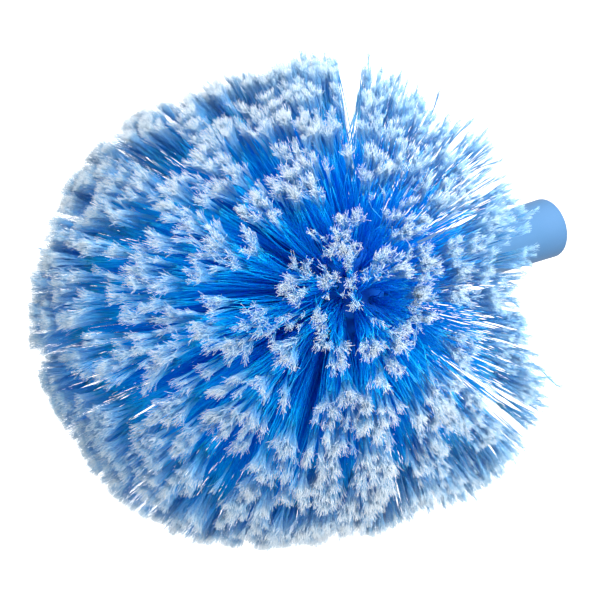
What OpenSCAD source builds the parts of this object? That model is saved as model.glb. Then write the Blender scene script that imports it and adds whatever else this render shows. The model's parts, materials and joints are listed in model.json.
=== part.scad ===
// Round dome brush head: a ball block full of bristle tufts on a pole socket.
// Millimetres. The origin is the centre of the socket's mouth and +Z runs to the dome.

/* [Bristles] */
// Radius of the sphere that the bristle dome is trimmed to
dome_r = 114; // [105:1:125]
// How far the centre of that sphere lies in front of the centre of the block
dome_shift = 40; // [30:1:50]
// How much shorter than the widest row the last row of tufts is
rear_trim = 2; // [0:1:15]
// Half angle by which a tuft spreads from its hole to its tips
tuft_spread = 5; // [3:0.5:5.5]

/* [Tuft holes] */
// Diameter of a tuft hole
hole_d = 4.5; // [3.5:0.1:4.7]
// Depth of a tuft hole, measured along its axis
hole_depth = 10; // [8:0.5:11]
// Angle between one row of tufts and the next, seen from the centre of the block
row_step = 12.5; // [12.5:0.1:12.8]
// Angle between the tufts of one row, seen from the centre of the block
tuft_pitch = 12; // [12:0.5:16]

/* [Block] */
// Radius of the ball that holds the tufts
block_r = 36; // [35:1:42]
// Height of the centre of the ball above the mouth of the socket
block_z = 124; // [115:1:135]
// Diameter of the round collar behind the ball
collar_d = 37; // [34:1:40]
// How far the collar stands out behind the ball
collar_h = 5; // [3:1:8]

/* [Pole socket] */
// Outside diameter of the socket at its mouth
mouth_d = 30; // [29:0.5:33]
// Outside diameter of the socket where it enters the block
neck_d = 27; // [25:0.5:28]
// Diameter of the spigot that is welded into the block
spigot_d = 25; // [23:0.5:25]
// Length of the spigot
spigot_h = 16; // [12:1:18]
// Radius of the rounded edge round the mouth
mouth_round = 2.6; // [1.5:0.1:3]
// Crest diameter of the female pole thread
thread_d = 14.5; // [14:0.1:15.5]
// Length of the female pole thread
thread_len = 38; // [30:1:45]
// Diameter of the plain lead-in in front of the thread
lead_d = 19.6; // [19.2:0.1:20]
// Depth of the plain lead-in
lead_h = 6; // [4:1:8]
// Diameter of the core that keeps the wall even beyond the thread
core_d = 14; // [12:0.5:16]
// Thickness of the web that closes the thread from the core
web_h = 6; // [4:1:8]

/* [Hidden] */
row_count = 10;
widest_angle = 90;
last_angle = (row_count - 1) * row_step;
// The socket's neck meets the back of the collar
collar_z = block_z - sqrt(block_r ^ 2 - (collar_d / 2) ^ 2) - collar_h;
spigot_top = collar_z + spigot_h;
core_z = lead_h + thread_len + web_h;
// How far a cut runs past the face that it opens
tool_over = 1;
// A tuft fills its hole but for a small gap, and stands on its anchor
tuft_gap = 0.05;
anchor_h = 2.2;
anchor_t = 0.5;
anchor_lift = 0.2;
anchor_top = hole_depth - anchor_lift - anchor_h - tuft_gap;
block_color = [0.04, 0.30, 0.74];
socket_color = [0.38, 0.60, 0.88];
bristle_color = [0.30, 0.58, 0.92];
anchor_color = [0.74, 0.75, 0.77];
$fn = 64;

// Angle of row i away from the dome's pole, and the number of tufts in it
function row_angle(i) = (i - 1) * row_step;
function row_tufts(i) = i == 1 ? 1 : 2 * round(180 * sin(row_angle(i)) / tuft_pitch);

// Distance from the block's centre to the trimmed tips, at an angle from the pole
function front_reach(a) = dome_shift * cos(a) + sqrt(dome_r ^ 2 - (dome_shift * sin(a)) ^ 2);
function rear_cut(a) = rear_trim * ((a - widest_angle) / (last_angle - widest_angle)) ^ 2;
function reach(a) = a <= widest_angle ? front_reach(a) : front_reach(widest_angle) - rear_cut(a);

// Places its children at each tuft of row i, with +Z out along the tuft from the ball's skin
module at_tufts(i) {
    count = row_tufts(i);
    turn = 360 / count;
    start = i % 2 == 0 ? turn / 2 : 0;
    for (k = [0 : count - 1])
        translate([0, 0, block_z])
            rotate([0, row_angle(i), start + k * turn])
                translate([0, 0, block_r])
                    children();
}

module tuft_hole() {
    translate([0, 0, -hole_depth])
        cylinder(d = hole_d, h = hole_depth + block_r);
}

// One bundle of filaments as a plain cone, from its anchor out to the trimmed tips
module tuft(i) {
    out = reach(row_angle(i)) - block_r;
    skin_r = hole_d / 2 - tuft_gap;
    translate([0, 0, -anchor_top])
        cylinder(
            r1 = skin_r - anchor_top * tan(tuft_spread),
            r2 = skin_r + out * tan(tuft_spread),
            h = anchor_top + out
        );
}

// One flat metal anchor, which holds a tuft by its fold at the bottom of its hole
module anchor() {
    translate([0, 0, -hole_depth + anchor_lift + anchor_h / 2])
        cube([hole_d - 2 * tuft_gap, anchor_t, anchor_h], center = true);
}

module ball_block() {
    color(block_color)
        difference() {
            union() {
                translate([0, 0, block_z])
                    sphere(r = block_r);
                translate([0, 0, collar_z])
                    cylinder(d = collar_d, h = block_z - collar_z);
            }
            translate([0, 0, collar_z - tool_over])
                cylinder(d = spigot_d, h = spigot_h + tool_over);
            for (i = [1 : row_count])
                at_tufts(i) tuft_hole();
        }
}

// Outline of half the socket: rounded mouth, tapered barrel, shoulder and spigot
module socket_outline() {
    mouth_r = mouth_d / 2;
    polygon([
        [0, 0],
        [mouth_r - mouth_round, 0],
        [mouth_r, mouth_round],
        [neck_d / 2, collar_z],
        [spigot_d / 2, collar_z],
        [spigot_d / 2, spigot_top],
        [0, spigot_top]
    ]);
    intersection() {
        translate([mouth_r - mouth_round, mouth_round])
            circle(r = mouth_round);
        square([mouth_r, mouth_round]);
    }
}

module pole_socket() {
    color(socket_color)
        difference() {
            rotate_extrude() socket_outline();
            translate([0, 0, lead_h - tool_over])
                cylinder(d = thread_d, h = thread_len + tool_over);
            translate([0, 0, -tool_over])
                cylinder(d = lead_d, h = lead_h + tool_over);
            translate([0, 0, core_z])
                cylinder(d = core_d, h = spigot_top - core_z + tool_over);
        }
}

module tuft_row(i) {
    color(bristle_color)
        at_tufts(i) tuft(i);
}

module anchor_row(i) {
    color(anchor_color)
        at_tufts(i) anchor();
}

ball_block();
pole_socket();
for (i = [1 : row_count]) {
    tuft_row(i);
    anchor_row(i);
}
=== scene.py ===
"""Looks for the round dome brush head: flagged bristles, moulded block and threaded pole socket."""
import json
import math

import bmesh
import bpy
import numpy as np
from mathutils import Matrix, Vector


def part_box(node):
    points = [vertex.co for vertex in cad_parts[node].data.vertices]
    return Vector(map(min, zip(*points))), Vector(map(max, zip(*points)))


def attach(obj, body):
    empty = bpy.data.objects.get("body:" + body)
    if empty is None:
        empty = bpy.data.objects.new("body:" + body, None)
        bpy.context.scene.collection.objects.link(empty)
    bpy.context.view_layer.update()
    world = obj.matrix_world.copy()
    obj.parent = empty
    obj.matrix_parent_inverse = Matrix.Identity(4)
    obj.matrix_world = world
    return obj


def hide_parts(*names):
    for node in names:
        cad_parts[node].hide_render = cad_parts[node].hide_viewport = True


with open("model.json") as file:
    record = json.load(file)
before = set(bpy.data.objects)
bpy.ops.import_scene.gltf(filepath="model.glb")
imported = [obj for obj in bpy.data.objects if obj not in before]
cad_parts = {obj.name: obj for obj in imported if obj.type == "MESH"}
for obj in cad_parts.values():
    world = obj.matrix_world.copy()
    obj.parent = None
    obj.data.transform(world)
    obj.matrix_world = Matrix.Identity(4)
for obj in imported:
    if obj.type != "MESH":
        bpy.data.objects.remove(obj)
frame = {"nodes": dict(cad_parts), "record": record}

MM = 0.001
BODY = "root"
RNG = np.random.default_rng(5)

# The frame: the block is a ball whose top and width give its centre and radius
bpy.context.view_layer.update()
BLOCK_LOW, BLOCK_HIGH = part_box("ball_block")
BLOCK_R = (BLOCK_HIGH.x - BLOCK_LOW.x) / 2
BLOCK_C = np.array([0.0, 0.0, BLOCK_HIGH.z - BLOCK_R])
TUFT_ROWS = sorted(n for n in frame["nodes"] if n.startswith("tuft_row_"))
ANCHOR_ROWS = [n.replace("tuft", "anchor") for n in TUFT_ROWS]


# ---------------------------------------------------------------- camera, light and floor

VIEW_UP = math.radians(30)       # the camera stands this far above the brush's waist
VIEW_ROLL = math.radians(107.3)  # and is rolled so that the socket points right and a little up
LENS, CLIP = 135, (0.05, 50)
FRAME_WIDTH = 0.2844             # how much of the object's plane the picture takes in
AIM_RIGHT, AIM_UP = -22.9 * MM, -4.7 * MM
# Each lamp: its place from the block's centre along the view's right, up and away axes in
# metres, its width in metres and its power in watts
LAMPS = {
    "key": ((0.65, 0.65, 1.3), 1.0, 29),
    "top": ((0.2, 1.2, 0.5), 0.8, 17),
    "back": ((-0.9, -0.7, -0.65), 1.0, 12),
    "fill": ((0.8, -0.4, 1.1), 0.8, 14),
}
WORLD_LIGHT = 0.70
LIGHT_STEPS = 10                 # how often light may pass from filament to filament
FLOOR_WIDTH, FLOOR_Z = 12, -0.3
FLOOR_GLOW = 0.5


def make_camera():
    data = bpy.data.cameras.new("camera")
    data.lens = LENS
    data.clip_start, data.clip_end = CLIP
    camera = bpy.data.objects.new("camera", data)
    bpy.context.scene.collection.objects.link(camera)
    away = Vector((0, -math.cos(VIEW_UP), math.sin(VIEW_UP)))
    side, top = Vector((1, 0, 0)), Vector((0, math.sin(VIEW_UP), math.cos(VIEW_UP)))
    right = math.cos(VIEW_ROLL) * side - math.sin(VIEW_ROLL) * top
    up = math.sin(VIEW_ROLL) * side + math.cos(VIEW_ROLL) * top
    distance = FRAME_WIDTH * LENS / data.sensor_width
    place = Vector(BLOCK_C) + AIM_RIGHT * right + AIM_UP * up + distance * away
    turn = Matrix((right, up, away)).transposed().to_4x4()
    camera.matrix_world = Matrix.Translation(place) @ turn
    bpy.context.scene.camera = camera
    return right, up, away


def make_light(name, place, width, power):
    data = bpy.data.lights.new(name, "AREA")
    data.shape, data.size, data.energy = "DISK", width, power
    light = bpy.data.objects.new(name, data)
    bpy.context.scene.collection.objects.link(light)
    light.location = place
    light.rotation_euler = (Vector(BLOCK_C) - place).to_track_quat("-Z", "Y").to_euler()


def make_world():
    world = bpy.data.worlds.new("studio")
    world.use_nodes = True
    background = world.node_tree.nodes["Background"]
    background.inputs["Color"].default_value = (1, 1, 1, 1)
    background.inputs["Strength"].default_value = WORLD_LIGHT
    bpy.context.scene.world = world
    bpy.context.scene.view_settings.view_transform = "Standard"
    bpy.context.scene.cycles.diffuse_bounces = LIGHT_STEPS


def make_floor():
    bpy.ops.mesh.primitive_plane_add(size=FLOOR_WIDTH, location=(0, 0, FLOOR_Z))
    floor = bpy.context.object
    floor.name = "floor"
    material = bpy.data.materials.new("floor_paper")
    material.use_nodes = True
    shader = material.node_tree.nodes["Principled BSDF"]
    shader.inputs["Base Color"].default_value = (0.9, 0.9, 0.9, 1)
    shader.inputs["Roughness"].default_value = 0.9
    shader.inputs["Emission Color"].default_value = (1, 1, 1, 1)
    shader.inputs["Emission Strength"].default_value = FLOOR_GLOW
    floor.data.materials.append(material)
    floor.visible_diffuse = floor.visible_glossy = False


# ---------------------------------------------------------------- materials

class Nodes:
    """A short way to write a node material: add nodes, link them, set values."""

    def __init__(self, name):
        self.material = bpy.data.materials.new(name)
        self.material.use_nodes = True
        self.tree = self.material.node_tree
        self.shader = self.tree.nodes["Principled BSDF"]

    def add(self, kind, **values):
        node = self.tree.nodes.new(kind)
        for key, value in values.items():
            setattr(node, key, value)
        return node

    def link(self, source, target):
        self.tree.links.new(source, target)

    def ramp(self, stops, factor):
        """A colour ramp; stops are (place, linear colour)."""
        node = self.add("ShaderNodeValToRGB")
        points = node.color_ramp.elements
        while len(points) < len(stops):
            points.new(0.5)
        for point, (place, color) in zip(points, stops):
            point.position = place
            point.color = (*color, 1)
        self.link(factor, node.inputs["Fac"])
        return node.outputs["Color"]

    def math(self, operation, a, b):
        node = self.add("ShaderNodeMath", operation=operation)
        for socket, value in zip(node.inputs, (a, b)):
            if isinstance(value, (int, float)):
                socket.default_value = value
            else:
                self.link(value, socket)
        return node.outputs[0]


UV_NAME = "OFBake"
UV_LENGTH = 0.13  # the length of filament, back from its tip, that the U axis covers
STRIP = 1 / 64    # the width of one filament's strip along V
# Colours of a filament from its root to its frosty tip, at their places along U. The pale tip is the
# flagged ends' own colour; the darkening towards the root is painted shade deep in the brush, and
# the grey-blue stops just short of the tip, with the greyed tip itself, are partly painted shade
# that dims the tips
BRISTLE_COLOURS_AND_SHADE = [
    (0.000, (0.000, 0.200, 0.96)),
    (0.500, (0.000, 0.370, 0.99)),
    (0.780, (0.000, 0.450, 0.99)),
    (0.840, (0.008, 0.470, 0.98)),
    (0.900, (0.075, 0.470, 0.92)),
    (0.946, (0.180, 0.470, 0.80)),
    (0.976, (0.275, 0.470, 0.66)),
    (1.000, (0.630, 0.690, 0.74)),
]
TINT_WANDER = 0.06  # how far the colours shift along U from filament to filament
TINTS_ACROSS, TINTS_ALONG = 60, 6  # how often that shift changes over V and over U


def bristle_material():
    """Saturated blue shafts that turn frosty towards their split tips, darkened as painted shade
    towards the roots and just short of the tips. U is 1 at the tip.
    """
    m = Nodes("bristle")
    uv = m.add("ShaderNodeUVMap", uv_map=UV_NAME)
    split = m.add("ShaderNodeSeparateXYZ")
    m.link(uv.outputs["UV"], split.inputs["Vector"])
    along, across = split.outputs["X"], split.outputs["Y"]
    spread = m.add("ShaderNodeCombineXYZ")
    m.link(m.math("MULTIPLY", across, TINTS_ACROSS), spread.inputs["X"])
    m.link(m.math("MULTIPLY", along, TINTS_ALONG), spread.inputs["Y"])
    noise = m.add("ShaderNodeTexNoise")
    noise.inputs["Scale"].default_value = 1.0
    noise.inputs["Detail"].default_value = 2.0
    m.link(spread.outputs["Vector"], noise.inputs["Vector"])
    wander = m.math("MULTIPLY", m.math("SUBTRACT", noise.outputs["Fac"], 0.5), TINT_WANDER)
    place = m.math("ADD", along, wander)
    color = m.ramp(BRISTLE_COLOURS_AND_SHADE, place)
    m.link(color, m.shader.inputs["Base Color"])
    m.shader.inputs["Roughness"].default_value = 0.45
    m.shader.inputs["Specular IOR Level"].default_value = 0.12
    m.shader.inputs["Subsurface Weight"].default_value = 1.0
    m.shader.inputs["Subsurface Radius"].default_value = (0.8, 0.8, 0.8)
    m.shader.inputs["Subsurface Scale"].default_value = 0.2 * MM
    return m.material


# Each plastic: its deeper and lighter colour, roughness, sheen, and grains of skin per metre
PLASTICS = {
    # The block's colours are its shaded look among the bristles: painted shade on top of the
    # plastic's own blue
    "block_plastic": ((0.000, 0.120, 0.54), (0.000, 0.150, 0.60), 0.6, 0.08, 1200),
    "socket_plastic": ((0.055, 0.158, 0.31), (0.070, 0.175, 0.34), 0.42, 0.3, 1400),
}
GLOSS_DRIFT = 0.12


def plastic_material(name):
    """Moulded plastic: faint colour drift, uneven gloss and a fine skin texture."""
    deep, light, roughness, sheen, grain = PLASTICS[name]
    m = Nodes(name)
    coords = m.add("ShaderNodeTexCoord")
    drift = m.add("ShaderNodeTexNoise")
    drift.inputs["Scale"].default_value = 18
    drift.inputs["Detail"].default_value = 3
    m.link(coords.outputs["Object"], drift.inputs["Vector"])
    color = m.ramp([(0.35, deep), (0.65, light)], drift.outputs["Fac"])
    m.link(color, m.shader.inputs["Base Color"])
    gloss = m.math("MULTIPLY_ADD", drift.outputs["Fac"], GLOSS_DRIFT)
    gloss.node.inputs[2].default_value = roughness - GLOSS_DRIFT / 2
    m.link(gloss, m.shader.inputs["Roughness"])
    m.shader.inputs["Specular IOR Level"].default_value = sheen
    skin = m.add("ShaderNodeTexNoise")
    skin.inputs["Scale"].default_value = grain
    skin.inputs["Detail"].default_value = 4
    m.link(coords.outputs["Object"], skin.inputs["Vector"])
    bump = m.add("ShaderNodeBump")
    bump.inputs["Strength"].default_value = 0.12
    bump.inputs["Distance"].default_value = 0.2 * MM
    m.link(skin.outputs["Fac"], bump.inputs["Height"])
    m.link(bump.outputs["Normal"], m.shader.inputs["Normal"])
    return m.material


def anchor_material():
    """Bright steel with fine marks."""
    m = Nodes("anchor_metal")
    coords = m.add("ShaderNodeTexCoord")
    marks = m.add("ShaderNodeTexNoise")
    marks.inputs["Scale"].default_value = 900
    m.link(coords.outputs["Object"], marks.inputs["Vector"])
    steel = [(0.3, (0.45, 0.46, 0.48)), (0.7, (0.66, 0.67, 0.69))]
    m.link(m.ramp(steel, marks.outputs["Fac"]), m.shader.inputs["Base Color"])
    m.shader.inputs["Metallic"].default_value = 1.0
    m.shader.inputs["Roughness"].default_value = 0.35
    return m.material


def dress(node, material):
    """Gives a CAD node's own mesh a better material."""
    for slot in frame["nodes"][node].material_slots:
        slot.material = material


# ---------------------------------------------------------------- bristles

FILAMENTS = 60          # in one tuft at the dome; fewer show in the looser rear rows
LOCKS = 8               # small groups that the tips of one tuft gather in
HAIRS = 12              # that the end of one filament is split into
SHAFT_R, SHAFT_TAPER = 0.22 * MM, 0.75  # the taper is where the hairs start
HAIR_R = 0.085 * MM
HOLE_R = 2.05 * MM      # of the disc that a tuft's filaments fill in its hole
ROOT_DEPTH = 7.0 * MM
SPLIT_LENGTH = (14 * MM, 22 * MM)
SHAFT_STATIONS = 7
SIDES = 3
# The tufts change from the dome's pole to the last row: each list below gives its values at
# these angles from the pole
ALONG = np.radians([0, 60, 82, 97, 112])
# Half angle by which the filaments of a tuft spread, and how far whole tufts lean
SPLAY = np.radians([8.3, 6.8, 6.2, 6.2, 7.5])
LEAN = np.radians([2.0, 3.3, 3.7, 4.2, 4.6])
SHARE = np.array([1.0, 1.0, 0.75, 0.60, 0.50])  # of the filaments
# How much of its own place a tip keeps in its lock, and how far a lock draws in behind its tips
GATHER = np.array([0.70, 0.70, 0.80, 0.95, 1.00])
PINCH = np.array([0.55, 0.45, 0.15, 0.05, 0.00])
# Fade is how fast the colours run from pale to blue, back from a filament's tip, and shade starts
# them a little way in, as painted shade that keeps the tips of the rows at the pole and at the rear
# darker than white; flare is how far its hairs stand apart
FADE = np.array([1.10, 0.96, 0.76, 0.68, 0.65])
PAINTED_TIP_SHADE = np.array([1.5, 0.0, 1.2, 2.2, 3.0]) * MM
FLARE = np.array([1.0, 0.85, 0.45, 0.3, 0.2])
# How unevenly the filaments of a tuft are cut, and the share of them that have left it
ROUGH = np.array([0.25, 0.30, 1.0, 1.6, 2.2]) * MM
STRAY = np.array([0.012, 0.012, 0.02, 0.035, 0.05])
LEAN_BACK = math.radians(3)  # of the last row, which has no neighbours behind it
# Spread of the random part of each place and length
TIP_DRIFT = 0.8 * MM     # of a tip, sideways
STRAY_DRIFT = 7 * MM     # of a stray filament's tip, sideways
TUFT_UNEVEN = 1.1 * MM   # of the length of whole tufts
LOCK_UNEVEN = 0.8 * MM   # of the length of whole locks
BOW, WAVE, WAVE_TURNS = 1.5 * MM, 0.42 * MM, (1.2, 2.6)
STRAY_WILD = 2.5         # how much more than the others a stray filament bends
LOCK_APART, LOCK_DRIFT = (0.6, 1.5), 0.10       # how a tuft's locks draw apart, of its radius
SHORT_SHARE, SHORT_BY = 0.08, 5 * MM            # filaments that broke off short
SHORT_LOCK_SHARE, SHORT_LOCK_BY = 0.12, 6 * MM  # locks that were cut short
STRAY_LENGTH, STRAY_LENGTH_LAST = (-8 * MM, 4 * MM), (-8 * MM, 13 * MM)  # past the trim
KNEE_AT, KNEE_STRAIGHT = 0.45, 0.6  # where a filament bends, and how far it keeps its hole's axis
ROOT_GATHER = 0.7        # how wide a tuft is at its root, of its width in the hole's mouth
PINCH_PEAK = 27 / 4      # makes s ** 2 * (1 - s) reach 1 at its highest
# Where hand trimming left the brush longer or shorter: the angle round it as the camera sees
# it, what it adds to the length, and how many degrees wide it is
UNEVEN = [
    (102, 6 * MM, 9), (124, -5 * MM, 16), (265, -4 * MM, 24), (308, 6 * MM, 20),
    (348, -5 * MM, 5), (0, -24 * MM, 12), (33, -11 * MM, 9), (63, -12 * MM, 11),
]
PART_AT, PART_TURN, PART_WIDTH = 90, 3.4, 5.5  # degrees: a parting at the brush's upper edge
PART_EDGE = 0.55        # how near the outline the parting starts
# A spot near the middle of the view where the bristles stand aside, most of all to its right:
# its place along the view's right and up axes, and its turn and width in degrees
BARE_RIGHT, BARE_UP, BARE_TURN, BARE_WIDTH = 0.075, 0.000, 7.0, 7.0
PIECE_FACES = 195_000   # a row with more triangles than this is built as several pieces


def loose_centres(node):
    """The mean point of each separate solid in a CAD node."""
    mesh = bmesh.new()
    mesh.from_mesh(frame["nodes"][node].data)
    bmesh.ops.remove_doubles(mesh, verts=mesh.verts, dist=1e-6)
    centres, seen = [], set()
    for first in mesh.verts:
        if first in seen:
            continue
        island, edge = [], [first]
        seen.add(first)
        while edge:
            vertex = edge.pop()
            island.append(vertex.co)
            for link in vertex.link_edges:
                other = link.other_vert(vertex)
                if other not in seen:
                    seen.add(other)
                    edge.append(other)
        centres.append(np.mean(island, axis=0))
    mesh.free()
    return np.array(centres)


def unit(v):
    return v / np.linalg.norm(v, axis=-1, keepdims=True)


def tuft_axes(anchor_node):
    """The direction of each tuft of a row, out from the block's centre through its anchor."""
    axes = unit(loose_centres(anchor_node) - BLOCK_C)
    return axes[np.argsort(np.arctan2(axes[:, 1], axes[:, 0]))]


def row_reach(tuft_node, axes):
    """How far the tips of a row's tufts stand from the block's centre."""
    mesh = frame["nodes"][tuft_node].data
    points = np.empty(len(mesh.vertices) * 3, np.float32)
    mesh.vertices.foreach_get("co", points)
    return float(((points.reshape(-1, 3) - BLOCK_C) @ axes.T).max())


AXES = [tuft_axes(n) for n in ANCHOR_ROWS]
REACHES = [row_reach(n, a) for n, a in zip(TUFT_ROWS, AXES)]
ANGLES = [math.acos(float(np.clip(a[:, 2].mean(), -1, 1))) for a in AXES]


def trim(directions):
    """How far the trimmed outline lies from the block's centre in each direction."""
    angle = np.arccos(np.clip(directions[..., 2], -1, 1))
    return np.interp(angle, ANGLES, REACHES)


def side_axes(direction):
    """Two unit vectors square to each direction."""
    helper = np.where(np.abs(direction[..., 2:]) < 0.9, [[0.0, 0.0, 1.0]], [[1.0, 0.0, 0.0]])
    first = unit(np.cross(direction, helper))
    return first, np.cross(direction, first)


def disc(*shape):
    """Random points spread evenly over the unit disc."""
    r = np.sqrt(RNG.random(shape))
    a = RNG.random(shape) * 2 * math.pi
    return np.stack([r * np.cos(a), r * np.sin(a)], axis=-1)


def lay(pair, first, second):
    """Turns pairs of numbers into vectors along two given axes."""
    return pair[..., :1] * first + pair[..., 1:] * second


def view_angle(directions):
    """Angle round the brush as the camera sees it, and how near the outline it lies, up to 1."""
    right, up, away = VIEW_AXES
    return np.arctan2(directions @ up, directions @ right), 1 - (directions @ away) ** 2


def turn_between(a, degrees):
    """Signed angle from a direction given in degrees."""
    return np.mod(a - math.radians(degrees) + math.pi, 2 * math.pi) - math.pi


def uneven(directions):
    """What the uneven trim adds to the length in each direction."""
    angle, edge = view_angle(directions)
    extra = 0
    for degrees, amount, width in UNEVEN:
        extra = extra + amount * np.exp(-(turn_between(angle, degrees) / math.radians(width)) ** 2)
    return extra * edge


def bare(directions):
    """Turns directions away from the bare spot, and hardly at all on its left side."""
    right, up, away = VIEW_AXES
    spot = unit(away + BARE_RIGHT * right + BARE_UP * up)
    off = directions - spot
    gap = np.linalg.norm(off, axis=-1, keepdims=True)
    push = math.radians(BARE_TURN) * np.exp(-(gap / math.radians(BARE_WIDTH)) ** 2)
    push = push * np.clip(0.5 + off @ right / math.radians(BARE_WIDTH), 0, 1)[:, None]
    return unit(directions + push * off / (gap + 0.01))


def part(directions):
    """Turns directions near the parting away from it."""
    right, up, away = VIEW_AXES
    angle, edge = view_angle(directions)
    off = turn_between(angle, PART_AT)
    width = math.radians(PART_WIDTH)
    turn = np.sign(off) * math.radians(PART_TURN) * np.exp(-np.abs(off) / width) * (edge > PART_EDGE)
    flat = np.sqrt(edge)[:, None]
    turned = np.cos(angle + turn)[:, None] * right + np.sin(angle + turn)[:, None] * up
    return turned * flat + (directions @ away)[:, None] * away


class Filaments:
    """The centre lines of some tufts' filaments, as curves from the hole to the trimmed tip."""

    def __init__(self, axes, last):
        tufts = len(axes)
        angle = math.acos(float(axes[:, 2].mean()))
        splay, lean, gather, pinch, stray_share, rough, share, flare, fade, painted_tip_shade = (
            float(np.interp(angle, ALONG, values))
            for values in (SPLAY, LEAN, GATHER, PINCH, STRAY, ROUGH, SHARE, FLARE, FADE, PAINTED_TIP_SHADE)
        )
        # shade is the painted shade on this row's tips
        self.flare, self.fade, self.painted_tip_shade = flare, fade, painted_tip_shade
        each = round(FILAMENTS * share)
        count = tufts * each
        axis = np.repeat(axes, each, axis=0)
        e1, e2 = side_axes(axis)
        seat = disc(tufts, each)
        locked, own, offset = self.locks(seat)
        own = own * gather
        lean = lean * np.repeat(RNG.normal(0, 1, (tufts, 2)), each, axis=0)
        out = trim(axis)[:, None] - BLOCK_R
        wide = HOLE_R + math.tan(splay) * out
        aside = (locked + own) * wide + lean * out + RNG.normal(0, TIP_DRIFT, (count, 2))
        stray = RNG.random(count) < stray_share
        aside += stray[:, None] * RNG.normal(0, STRAY_DRIFT, (count, 2))
        direction = axis * (out + BLOCK_R) + lay(aside, e1, e2)
        if last:
            direction[:, 2] -= math.tan(LEAN_BACK) * out[:, 0]
        direction = part(bare(unit(direction)))
        length = trim(direction) + uneven(direction) + offset + RNG.normal(0, rough, count)
        length += np.repeat(RNG.normal(0, TUFT_UNEVEN, tufts), each)
        length -= (RNG.random(count) < SHORT_SHARE) * RNG.random(count) * SHORT_BY
        length += stray * RNG.uniform(*(STRAY_LENGTH_LAST if last else STRAY_LENGTH), count)
        seat = seat.reshape(-1, 2)
        self.root = BLOCK_C + axis * (BLOCK_R - ROOT_DEPTH)
        self.root += lay(seat * HOLE_R * ROOT_GATHER, e1, e2)
        self.start = BLOCK_C + axis * BLOCK_R + lay(seat * HOLE_R, e1, e2)
        self.tip = BLOCK_C + direction * length[:, None]
        self.pinch = -pinch * lay(own * wide, e1, e2)
        self.count = count
        self.bend(axis, stray)

    def bend(self, axis, stray):
        """Gives each filament its knee, its own bow and wave, and its strip of the material."""
        count = self.count
        run = self.tip - self.start
        self.length = np.linalg.norm(run, axis=-1)
        heading = unit(run)
        knee_way = unit(KNEE_STRAIGHT * axis + (1 - KNEE_STRAIGHT) * heading)
        self.knee = self.start + KNEE_AT * self.length[:, None] * knee_way
        self.n1, self.n2 = side_axes(heading)
        wild = (1 + STRAY_WILD * stray)[:, None]
        self.bow = RNG.normal(0, BOW, (count, 2)) * wild
        self.wave = RNG.normal(0, WAVE, (count, 2)) * wild
        self.turns = RNG.uniform(*WAVE_TURNS, count)[:, None]
        self.strip = RNG.random(count) * (1 - 2 * STRIP)

    @staticmethod
    def locks(seat):
        """Gathers a tuft's tips in locks: each tip's lock, its place there and extra length."""
        tufts = len(seat)
        centres = disc(tufts, LOCKS)
        gap = np.linalg.norm(seat[:, :, None] - centres[:, None], axis=-1)
        mine = gap.argmin(axis=2)
        centre = np.take_along_axis(centres, mine[..., None], axis=1)
        centres = centres * RNG.uniform(*LOCK_APART, (tufts, LOCKS, 1))
        centres = centres + RNG.normal(0, LOCK_DRIFT, centres.shape)
        locked = np.take_along_axis(centres, mine[..., None], axis=1)
        extra = RNG.normal(0, LOCK_UNEVEN, (tufts, LOCKS))
        short = RNG.random((tufts, LOCKS)) < SHORT_LOCK_SHARE
        extra -= short * RNG.random((tufts, LOCKS)) * SHORT_LOCK_BY
        offset = np.take_along_axis(extra, mine, axis=1)
        own = seat - centre
        return locked.reshape(-1, 2), own.reshape(-1, 2), offset.ravel()

    def at(self, t):
        """Points of every filament at its own places t, which has one row per filament."""
        s = t[..., None]
        a, b, c = self.start[:, None], self.knee[:, None], self.tip[:, None]
        curve = (1 - s) ** 2 * a + 2 * s * (1 - s) * b + s ** 2 * c
        curve = curve + PINCH_PEAK * s ** 2 * (1 - s) * self.pinch[:, None]
        swing = np.sin(math.pi * t)[..., None] * self.bow[:, None]
        swing = swing + np.sin(2 * math.pi * t * self.turns)[..., None] * self.wave[:, None]
        return curve + lay(swing, self.n1[:, None], self.n2[:, None])


def tubes(points, radii, side):
    """Closed three-sided tubes along rows of points. Returns corners, one ring per point."""
    tangent = unit(np.gradient(points, axis=1))
    n1 = side[:, None] - np.sum(side[:, None] * tangent, axis=-1, keepdims=True) * tangent
    n1 = unit(n1)
    n2 = np.cross(tangent, n1)
    turn = np.arange(SIDES) * 2 * math.pi / SIDES
    ring = np.cos(turn)[:, None] * n1[:, :, None] + np.sin(turn)[:, None] * n2[:, :, None]
    return points[:, :, None] + ring * radii[:, :, None, None]


def tube_faces(count, stations, first):
    """Corner numbers of the tubes' side quads and end triangles, and their UV places."""
    ring, side = np.meshgrid(np.arange(stations - 1), np.arange(SIDES), indexing="ij")
    ring, side = ring.ravel(), side.ravel()
    after = (side + 1) % SIDES
    quad = np.stack([ring * SIDES + side, ring * SIDES + after,
                     (ring + 1) * SIDES + after, (ring + 1) * SIDES + side], axis=-1)
    quad_station = np.stack([ring, ring, ring + 1, ring + 1], axis=-1)
    quad_side = np.stack([side, side + 1, side + 1, side], axis=-1)
    last = (stations - 1) * SIDES
    caps = np.array([[2, 1, 0], [last, last + 1, last + 2]])
    cap_station = np.array([[0] * 3, [stations - 1] * 3])
    cap_side = np.array([[2, 1, 0], [0, 1, 2]])
    base = first + np.arange(count)[:, None, None] * stations * SIDES
    return (quad + base, caps + base), (quad_station, cap_station), (quad_side, cap_side)


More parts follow.
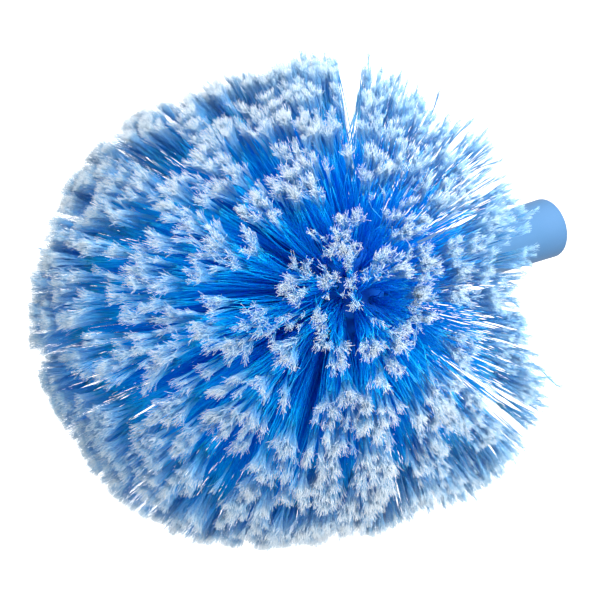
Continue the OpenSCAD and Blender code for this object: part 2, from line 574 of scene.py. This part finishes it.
def build_mesh(name, groups):
    """One mesh from groups of tubes: (points, radii, side, distance from the tip, strip)."""
    corners, quads, caps, quad_uv, cap_uv = [], [], [], [], []
    first = 0
    for points, radii, side, back, strip in groups:
        count, stations = radii.shape
        ring = tubes(points, radii, side)
        corners.append(ring.reshape(-1, 3))
        faces, station, around = tube_faces(count, stations, first)
        first += ring.reshape(-1, 3).shape[0]
        u = np.clip(1 - back / UV_LENGTH, 0, 1)
        for face, where, turn, uv in zip(faces, station, around, (quad_uv, cap_uv)):
            v = strip[:, None, None] + turn * STRIP / SIDES
            uv.append(np.stack([u[:, where], v], axis=-1).reshape(-1, 2))
        quads.append(faces[0].reshape(-1, 4))
        caps.append(faces[1].reshape(-1, 3))
    corners = np.concatenate(corners)
    quads, caps = np.concatenate(quads), np.concatenate(caps)
    mesh = bpy.data.meshes.new(name)
    mesh.vertices.add(len(corners))
    mesh.vertices.foreach_set("co", corners.astype(np.float32).ravel())
    loops = np.concatenate([quads.ravel(), caps.ravel()]).astype(np.int32)
    mesh.loops.add(len(loops))
    mesh.loops.foreach_set("vertex_index", loops)
    starts = np.concatenate([np.arange(len(quads)) * 4, quads.size + np.arange(len(caps)) * 3])
    mesh.polygons.add(len(quads) + len(caps))
    mesh.polygons.foreach_set("loop_start", starts.astype(np.int32))
    layer = mesh.uv_layers.new(name=UV_NAME)
    layer.data.foreach_set("uv", np.concatenate(quad_uv + cap_uv).astype(np.float32).ravel())
    mesh.polygons.foreach_set("use_smooth", np.ones(len(mesh.polygons), bool))
    mesh.update(calc_edges=True)
    mesh.validate()
    return mesh


def shaft_group(f, split):
    """The unsplit length of each filament, with its root inside the hole."""
    t = np.linspace(0, 1, SHAFT_STATIONS)[None] * split[:, None]
    points = np.concatenate([f.root[:, None], f.at(t)], axis=1)
    radii = np.full((f.count, SHAFT_STATIONS + 1), SHAFT_R)
    radii[:, -1] *= SHAFT_TAPER
    back = np.concatenate([f.length[:, None] + ROOT_DEPTH, (1 - t) * f.length[:, None]], axis=1)
    return points, radii, f.n1, back * f.fade + f.painted_tip_shade, f.strip


HAIR_PLACES = np.array([0.0, 0.50, 0.82, 1.0])   # of a hair's rings along its length
HAIR_SPREAD = np.array([0.0, 0.50, 1.15, 1.75])  # how far its rings stand aside, in mm
HAIR_CURL = np.array([0.0, 0.15, 0.40, 0.85])    # how far each ring strays, in mm
HAIR_TAPER = np.array([1.2, 1.0, 1.0, 0.7])
HAIR_UNEVEN = 0.25 * MM  # of the length of single hairs
HAIR_OVERLAP = 0.02      # of a filament's length, that its hairs start inside its shaft


def hair_group(f, split):
    """One of the fine hairs that each filament's tip is split into."""
    ends = 1 + RNG.normal(0, HAIR_UNEVEN, f.count) / f.length
    t = split[:, None] - HAIR_OVERLAP + (ends - split + HAIR_OVERLAP)[:, None] * HAIR_PLACES
    aside = (disc(f.count) * f.flare)[:, None] * (HAIR_SPREAD * MM)[:, None]
    curl = RNG.normal(0, 1, (f.count, len(HAIR_PLACES), 2)) * (HAIR_CURL * MM)[:, None]
    points = f.at(t) + lay(aside + curl, f.n1[:, None], f.n2[:, None])
    radii = HAIR_R * HAIR_TAPER * np.ones((f.count, 1))
    back = (ends[:, None] - t).clip(0) * f.length[:, None]
    return points, radii, f.n1, back * f.fade + f.painted_tip_shade, f.strip


def make_tufts(name, node, axes, last, material):
    """One piece: some tufts of a row, which stand for the row's CAD node."""
    f = Filaments(axes, last)
    split = 1 - RNG.uniform(*SPLIT_LENGTH, f.count) / f.length
    groups = [shaft_group(f, split)] + [hair_group(f, split) for _ in range(HAIRS)]
    piece = bpy.data.objects.new(name, build_mesh(name, groups))
    bpy.context.scene.collection.objects.link(piece)
    piece.data.materials.append(material)
    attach(piece, BODY)
    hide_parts(node)


def make_bristles(material):
    tube_count = (SHAFT_STATIONS, *[len(HAIR_PLACES) - 1] * HAIRS)
    tuft_faces = FILAMENTS * sum(n * SIDES * 2 + 2 for n in tube_count)
    for number, (node, axes) in enumerate(zip(TUFT_ROWS, AXES), 1):
        last = number == len(TUFT_ROWS)
        name = f"bristles_{number:02d}"
        if len(axes) * tuft_faces <= PIECE_FACES:
            make_tufts(name, node, axes, last, material)
            continue
        parts = math.ceil(len(axes) * tuft_faces / PIECE_FACES)
        for letter, some in zip("abcdef", np.array_split(axes, parts)):
            make_tufts(name + letter, node, some, last, material)


# ---------------------------------------------------------------- threaded socket

PITCH = 25.4 / 5 * MM   # five turns to the inch
ROOT_R = 9.6 * MM       # of the female thread's grooves
CREST, FLANK = 0.26, 0.22  # their shares of one pitch
RUN_OUT = 0.4           # of a pitch, over which the grooves fade at both ends
FACES_ROUND = 128
ROWS_PER_TURN = 14


def mount_dims(name):
    found = next(m for m in frame["record"]["mounts"] if m["name"] == name)
    return found["dims"]["r_mm"] * MM, found["dims"]["length_mm"] * MM


def groove(height, angle, low, high, crest_r):
    """Radius of the threaded bore at one height, for each angle round it."""
    phase = np.mod(height / PITCH - angle / (2 * math.pi), 1.0)
    depth = np.clip((np.abs(phase - 0.5) - CREST / 2) / FLANK, 0, 1)
    ends = np.clip(min(height - low, high - height) / (RUN_OUT * PITCH), 0, 1)
    return crest_r + (ROOT_R - crest_r) * depth * ends


def socket_rings(angle):
    """Rings of the socket's skin, from the bottom of the thread out, round and into the core."""
    crest_r, thread_length = mount_dims("pole_thread")
    lead_r, low = mount_dims("pole_lead_in")
    high = low + thread_length
    steps = round(thread_length / PITCH * ROWS_PER_TURN)
    heights = np.linspace(high, low, steps + 1)
    rings = [(0 * angle, high)]
    rings += [(groove(z, angle, low, high, crest_r), z) for z in heights]
    rings += [(0 * angle + lead_r, z) for z in (low, 0.0)]
    points = np.array([v.co for v in frame["nodes"]["pole_socket"].data.vertices])
    places = np.stack([points[:, 2], np.hypot(points[:, 0], points[:, 1])], axis=-1)
    places = np.unique(np.round(places, 6), axis=0)
    skin = [(z, r) for z, r in places if r > lead_r + MM]
    core = [(z, r) for z, r in places if z > high + MM and r < lead_r]
    for z, r in sorted(skin, key=lambda place: (place[0], -place[1])) + core[::-1]:
        rings.append((0 * angle + r, z))
    rings.append((0 * angle, core[0][0]))
    return rings


def make_socket(material):
    """The pole socket with its helical thread, which CAD leaves as a plain bore."""
    angle = np.arange(FACES_ROUND) * 2 * math.pi / FACES_ROUND
    rings = socket_rings(angle)
    mesh = bmesh.new()
    rows = []
    for radius, height in rings:
        if radius.max() == 0:
            rows.append([mesh.verts.new((0, 0, height))] * FACES_ROUND)
        else:
            spots = zip(radius * np.cos(angle), radius * np.sin(angle))
            rows.append([mesh.verts.new((x, y, height)) for x, y in spots])
    for low, high in zip(rows, rows[1:]):
        for k in range(FACES_ROUND):
            n = (k + 1) % FACES_ROUND
            corners = list(dict.fromkeys([low[k], low[n], high[n], high[k]]))
            mesh.faces.new(corners)
    bmesh.ops.recalc_face_normals(mesh, faces=mesh.faces)
    data = bpy.data.meshes.new("socket_threaded")
    mesh.to_mesh(data)
    mesh.free()
    data.polygons.foreach_set("use_smooth", np.ones(len(data.polygons), bool))
    data.set_sharp_from_angle(angle=math.radians(32))
    piece = bpy.data.objects.new("socket_threaded", data)
    bpy.context.scene.collection.objects.link(piece)
    data.materials.append(material)
    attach(piece, BODY)
    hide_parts("pole_socket")


# ---------------------------------------------------------------- the object

right, up, away = make_camera()
VIEW_AXES = [np.array(axis) for axis in (right, up, away)]
make_world()
for lamp, ((to_right, to_up, to_away), width, power) in LAMPS.items():
    lamp_place = Vector(BLOCK_C) + to_away * away + to_right * right + to_up * up
    make_light(lamp, lamp_place, width, power)
make_floor()

make_bristles(bristle_material())
dress("ball_block", plastic_material("block_plastic"))
make_socket(plastic_material("socket_plastic"))
anchors = anchor_material()
for anchor_row in ANCHOR_ROWS:
    dress(anchor_row, anchors)
